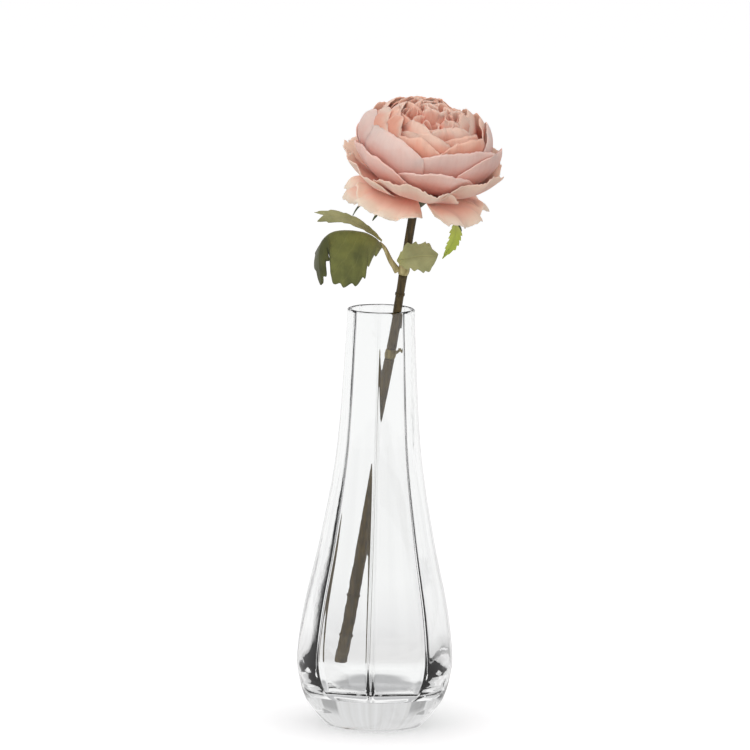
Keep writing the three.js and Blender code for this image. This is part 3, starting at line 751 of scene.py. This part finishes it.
def make_flower():
    def layer(name, material, slot, outline, petals):
        shape = Shape()
        for settings in petals:
            petal(shape, outline, **settings)
        shape.piece(name, material, "flower_head", slot, HEAD_PLACE, 0.35)

    layer("petals_skirt", CREAM, "petal_cream", SKIRT, [
        dict(turn=-121, half_angle=39, tip=0.86, ruffle=3.2, waves=3.4, curl=-2, seed=3.1, tint=0.1,
             tooth=0.02),
        dict(turn=-40, half_angle=40, tip=0.92, ruffle=3.4, rise=1.8, curl=-1, waves=3, seed=8.4,
             tint=0.3, tooth=0.03),
        dict(turn=24, half_angle=34, tip=0.98, ruffle=1.8, seed=15.0, tint=0.2, tooth=0.02),
        dict(turn=95, half_angle=38, tip=1.0, ruffle=1.6, seed=21.7, tooth=0.02),
        dict(turn=-178, half_angle=32, tip=0.9, rise=-1.5, ruffle=3.2, curl=2, seed=28.2, tint=0.2,
             tooth=0.03),
    ])
    layer("petals_guard", CREAM, "petal_cream", GUARD, [
        dict(turn=-96, half_angle=42, tip=0.76, rise=1.2, ruffle=2.2, waves=3, curl=1.2, seed=4.2,
             tint=0.6, tooth=0.025),
        dict(turn=-30, half_angle=40, tip=0.86, rise=1.5, ruffle=2.4, curl=0.5, seed=9.9, tint=0.7,
             tooth=0.025),
        dict(turn=30, half_angle=36, tip=1.0, ruffle=1.8, curl=0.8, seed=16.1, tint=0.5, tooth=0.02),
        dict(turn=90, half_angle=44, tip=0.95, ruffle=1.8, seed=22.9, tooth=0.02),
        dict(turn=150, half_angle=34, tip=0.8, ruffle=2.4, curl=1, seed=29.4, tint=0.5, tooth=0.03),
        dict(turn=-154, half_angle=38, tip=0.77, ruffle=2.0, waves=2.4, curl=0.4, seed=35.5, tint=0.5,
             tooth=0.02),
    ])
    layer("petals_cup_outer", PINK, "petal_pink", CUP_OUTER, [
        dict(turn=-78, half_angle=40, tip=0.78, ruffle=1.0, curl=0.8, seed=5.3, tint=0.3, tooth=0.01),
        dict(turn=-18, half_angle=44, tip=1.04, ruffle=1.1, seed=10.6, tint=0.4, tooth=0.01),
        dict(turn=50, half_angle=44, tip=0.9, ruffle=1.0, seed=17.2, tooth=0.01),
        dict(turn=124, half_angle=44, tip=0.8, ruffle=1.0, seed=23.8, tooth=0.01),
        dict(turn=-146, half_angle=44, tip=0.84, ruffle=1.2, seed=30.6, tint=0.5, tooth=0.012),
    ])
    layer("petals_cup_middle", PINK, "petal_pink", CUP_MIDDLE, [
        dict(turn=-134, half_angle=44, tip=0.9, ruffle=0.9, waves=1.2, corner=0.26, twist=0.8, seed=6.4,
             tint=0.0, tooth=0.006),
        dict(turn=-54, half_angle=48, tip=0.78, ruffle=0.8, waves=1.3, corner=0.2, curl=0.8, seed=11.3,
             tint=0.1, tooth=0.008),
        dict(turn=10, half_angle=42, tip=0.93, ruffle=1.0, seed=18.3, tint=0.1, tooth=0.008),
        dict(turn=80, half_angle=46, tip=0.84, ruffle=1.1, seed=24.9, tooth=0.008),
        dict(turn=134, half_angle=40, tip=0.76, ruffle=1.0, seed=31.7, tint=0.0, tooth=0.006),
        dict(turn=-174, half_angle=40, tip=1.0, ruffle=0.8, waves=1.1, corner=0.34, twist=-2.4, curl=-1.2,
             seed=50.9, tint=0.1, tooth=0.006),
    ])
    layer("petals_cup_inner", CORAL, "petal_coral", CUP_INNER, [
        dict(turn=-166, half_angle=38, tip=1.0, ruffle=1.0, waves=1.2, corner=0.3, curl=-1, seed=3.3,
             tint=0.0, tooth=0.006),
        dict(turn=-104, half_angle=34, tip=0.8, ruffle=1.2, waves=1.6, seed=12.1, tint=0.7, tooth=0.008),
        dict(turn=-44, half_angle=42, tip=0.8, ruffle=1.5, waves=1.6, seed=19.6, tint=0.8, tooth=0.008),
        dict(turn=20, half_angle=42, tip=0.9, ruffle=1.5, seed=26.4, tint=0.2, tooth=0.008),
        dict(turn=84, half_angle=42, tip=0.92, ruffle=1.2, seed=33.8, tint=0.4, tooth=0.008),
        dict(turn=140, half_angle=40, tip=0.86, ruffle=1.2, seed=41.5, tint=0.2, tooth=0.008),
        dict(turn=-137, half_angle=19, tip=1.07, ruffle=0.3, corner=0.34, cup=-1.0, twist=0.4, curl=-0.5,
             seed=47.2, tint=0.0, tooth=0.003, across=30),
    ])
    layer("petals_heart_outer", CORAL, "petal_coral", HEART_OUTER, [
        dict(turn=20 + 60 * k + 8 * wander(k * 2.1), half_angle=42,
             tip=(0.93, 0.92, 0.92, 0.98, 0.8, 0.78)[k], ruffle=1.6, twist=3.0, waves=1.5, corner=0.24,
             curl=-1.2, tooth=0.007)
        for k in range(6)
    ])
    layer("petals_heart_inner", APRICOT, "petal_apricot", HEART_INNER, [
        dict(turn=60 * k + 9 * wander(k * 1.7, 3), half_angle=44,
             tip=(0.93, 0.95, 0.97, 0.97, 0.86, 0.84)[k], ruffle=1.6, twist=3.0, waves=1.4, corner=0.24,
             curl=-1.2, tooth=0.007)
        for k in range(6)
    ])
    for k in range(len(TUFT_TOPS)):
        shape = Shape()
        facing = 60 * k - 30
        angle = math.radians(facing)
        off = 0 if k == 0 else TUFT_CIRCLE
        middle = (off * math.cos(angle), off * math.sin(angle))
        top = TUFT_TOPS[k]
        facing += dice.uniform(-25, 25)
        for ring, (reach, petals, spread_out, low) in enumerate(TUFT_RINGS):
            line = [(0.5, 34), (reach * 0.62, 37.5), (reach, 44), (reach * 1.04, top - 7 - low),
                    (reach * 0.7, top - low)]
            for j in range(petals):
                petal(shape, line, facing + 110 * ring + 360 * j / petals, spread_out, tip=0.98, corner=0.28,
                      twist=1.8, ruffle=1.3, waves=1.1, curl=0.5, tooth=0.007, middle=middle,
                      across=44, along=20)
        shape.piece(f"rosette_tuft_{k + 1}", APRICOT, "flower_head", "petal_apricot", HEAD_PLACE, 0.3)


make_flower()


SEPAL_LINE = [(2.8, 8.7), (12, 8.6), (22, 5.4), (30, -1), (33, -8)]
SEPALS = ((-168, 0.95), (-134, 0.8), (-30, 0.8), (45, 0.8), (110, 0.8))  # where it points, share of the line


def make_under_flower():
    shape = Shape()
    for turn, share in SEPALS:
        turn = math.radians(turn)
        outward = Vector((math.cos(turn), math.sin(turn), 0))
        side = Vector((-math.sin(turn), math.cos(turn), 0))

        def sepal_point(u, v):
            a = 2 * u - 1
            radius, height = spline(SEPAL_LINE, v * share)
            half = 3.2 * (1 - v) ** 0.7 * smoothstep(-0.35, 0.25, v) + 0.15
            point = outward * radius + side * (a * half) + UP * (height - 0.6 * a * a)
            return point, {"along": v, "across": a}

        shape.grid(40, 12, sepal_point)
    shape.piece("sepal_star", SEPAL, "flower_head", "sepal_fabric", HEAD_PLACE, 0.3)

    shape = Shape()
    outline = [(2.5, 0.3), (3.1, 0.4), (5.0, 2.4), (7.3, 5.2), (8.1, 6.6), (7.9, 7.0)]

    def cup_point(u, v):
        radius, height = spline(outline, v)
        radius += 0.12 * math.sin(5 * u * TAU) * v
        return Vector((radius * math.cos(u * TAU), radius * math.sin(u * TAU), height)), {}

    start, count = shape.grid(18, 40, cup_point, closed=True)
    shape.cap(start + 18 * count, count)
    shape.piece("calyx_cup", CALYX, "flower_head", "calyx_plastic",
                turned_towards(STEM_LINE, HEAD_FOOT))

    shape = Shape()
    rod(shape, [(8.8, 1.5, 3.6), (16, 2.5, 2.2), (22.9, -1, -1.6)], 0.9, 0.7)
    shape.piece("bract_stalk", NODE_PLASTIC, "flower_head", "node_plastic", HEAD_PLACE)

    shape = Shape()
    blade(shape, [(23.6, -1.6, -2.8), (24.6, -3.5, -9), (23.4, -4.4, -16), (20, -5, -24)], [
        (unit(-1, -0.3, -0.3), toothed([(0, 0.6), (0.25, 3.4), (0.6, 3.2), (1, 0.2)], 7, 1.7, 1)),
        (unit(1, -0.3, -0.3), toothed([(0, 0.6), (0.25, 3.6), (0.6, 3.2), (1, 0.2)], 7, 1.7, 2)),
    ], rows=60, across=8, waves=0.4)
    shape.piece("bract_leaf", LEAF_BRACT, "flower_head", "leaf_bract", HEAD_PLACE, 0.3)


make_under_flower()


def finish_carried_over():
    """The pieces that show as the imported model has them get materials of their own."""
    steel = plastic_material("steel_wire", "6f7172", "9a9c9d", roughness=0.4)
    for node, material in (("stem_wire", steel), ("flower_heart", CORE)):
        mesh = bpy.data.objects[node].data
        mesh.materials.clear()
        mesh.materials.append(material)


finish_carried_over()

# ---------------------------------------------------------------- floor, surroundings and light

FLAG_AT = 30  # dark upright cards stand at this angle to both sides of each quarter of the studio
FLAG_HALF_WIDTH = 7
FLAG_DARKNESS = 0.5
FLAG_RISE = (0.3, 0.45)  # the cards fade out between these slopes up and down


def studio_light(n, direction):
    """What glass shows of the studio in a direction from the vase: white with soft upright streaks,
    and dark where a card stands."""
    parts = n.add("SeparateXYZ", {"Vector": direction})
    angle = n.math("ARCTAN2", parts.outputs["Y"], parts.outputs["X"])
    degrees = n.math("MULTIPLY", angle, 180 / math.pi)
    quarter = n.math("PINGPONG", degrees, 45.0)
    off = n.math("ABSOLUTE", n.math("SUBTRACT", quarter, float(FLAG_AT)))
    card = n.ramp(n.math("DIVIDE", off, 10.0), [
        ((FLAG_HALF_WIDTH - 0.6) / 10, (FLAG_DARKNESS,) * 3), ((FLAG_HALF_WIDTH + 0.6) / 10, (0, 0, 0))])
    streaks = n.add("TexNoise", {"W": degrees, "Scale": 0.3, "Detail": 2.0}, noise_dimensions="1D")
    steep = n.math("ABSOLUTE", parts.outputs["Z"])
    card = n.math("MULTIPLY", card, n.ramp(steep, [(FLAG_RISE[0], (1, 1, 1)), (FLAG_RISE[1], (0, 0, 0))]))
    white = n.ramp(streaks.outputs["Fac"], [(0.3, (0.97, 0.965, 0.96)), (0.7, (1.1, 1.1, 1.11))])
    return n.mixed(card, white, (0.02, 0.02, 0.022))


def sent_on_by_glass(n):
    """1 for a ray that went through glass or was reflected by something glossy, and 0 for others."""
    path = n.add("LightPath")
    return n.math("MAXIMUM", path.outputs["Is Transmission Ray"], path.outputs["Is Glossy Ray"])


def make_world():
    world = bpy.data.worlds.new("studio")
    bpy.context.scene.world = world
    n = Nodes(world, "OutputWorld")
    place = n.add("TexCoord")
    through_glass = studio_light(n, place.outputs["Generated"])
    path = n.add("LightPath").outputs
    lights = n.mixed(path["Is Diffuse Ray"], (1.0, 1.0, 1.0), (0.68, 0.672, 0.678))
    dimmed = n.math("MULTIPLY", path["Is Glossy Ray"], 0.35)  # reflections are weaker than the backdrop
    in_glass = n.mixed(dimmed, through_glass, (0.05, 0.05, 0.052))
    colour = n.mixed(sent_on_by_glass(n), lights, in_glass)
    n.surface(n.add("Background", {"Color": colour, "Strength": 1.0}).outputs[0])


def floor_material():
    """White and evenly lit, with a painted soft shadow by the foot. What glass shows of it is a calm pale
    grey, with a painted shadow under the foot.
    """
    n = Nodes(bpy.data.materials.new("pale_floor"))
    place = n.add("NewGeometry")
    away = n.add("VectorMath", {0: place.outputs["Position"]}, operation="LENGTH").outputs["Value"]
    white = n.add("BsdfDiffuse", {"Color": (0.95, 0.95, 0.95, 1)})
    # Distances are in metres from the middle of the foot, times ten or two.
    # painted shadow: the floor's glow is weaker round the foot, standing in for the vase's soft contact
    # shadow
    painted_foot_shadow = n.ramp(n.math("MULTIPLY", away, 10.0), [
        (0.26, (0.3,) * 3), (0.5, (0.52,) * 3), (1.0, (1, 1, 1))])
    lift = n.add("Emission", {"Color": painted_foot_shadow, "Strength": 0.34})
    lit = n.add("AddShader")
    n.link(white.outputs[0], lit.inputs[0])
    n.link(lift.outputs[0], lit.inputs[1])
    seen = n.ramp(n.math("MULTIPLY", away, 2.0), [
        (0.1, (1, 1, 1)), (0.2, (0.8, 0.79, 0.79)), (0.45, (0.86, 0.855, 0.86)), (0.8, (0.97, 0.97, 0.97))])
    # painted shadow: the floor right under the foot is darker as glass shows it
    painted_shadow_under_foot = n.ramp(n.math("MULTIPLY", away, 10.0), [(0.22, (0.5, 0.5, 0.51)), (0.29, (1, 1, 1))])
    seen = n.mixed(1.0, seen, painted_shadow_under_foot, "MULTIPLY")
    through_glass = n.add("Emission", {"Color": seen, "Strength": 1.0})
    both = n.add("MixShader", {0: sent_on_by_glass(n)})
    bounced = n.add("Emission", {"Color": (1, 1, 1, 1), "Strength": 0.75})
    plain = n.add("MixShader", {0: n.add("LightPath").outputs["Is Diffuse Ray"]})
    n.link(lit.outputs[0], plain.inputs[1])
    n.link(bounced.outputs[0], plain.inputs[2])
    n.link(plain.outputs[0], both.inputs[1])
    n.link(through_glass.outputs[0], both.inputs[2])
    n.surface(both.outputs[0])
    return n.owner


def make_floor():
    size = 8000
    corners = [Vector((x, y, -0.05)) for x, y in ((-size, -size), (size, -size), (size, size), (-size, size))]
    mesh_object("floor", corners, [(0, 1, 2, 3)], floor_material(), smooth=False)


def area_light(name, place, aim, size, power):
    data = bpy.data.lights.new(name, "AREA")
    data.shape = "DISK"
    data.size, data.energy = size, power
    light = bpy.data.objects.new(name, data)
    light.location = place
    light.rotation_mode = "QUATERNION"
    light.rotation_quaternion = (Vector(aim) - Vector(place)).to_track_quat("-Z", "Y")
    light.visible_glossy = light.visible_transmission = False  # it doesn't show in the glass
    bpy.context.collection.objects.link(light)


make_world()
make_floor()
area_light("key", (-0.9, -1.1, 1.9), (0, 0, 0.28), 0.9, 10)
area_light("front_fill", (-0.5, -2.4, 0.75), (0, 0, 0.3), 1.2, 15)
bpy.context.scene.view_settings.view_transform = "Standard"
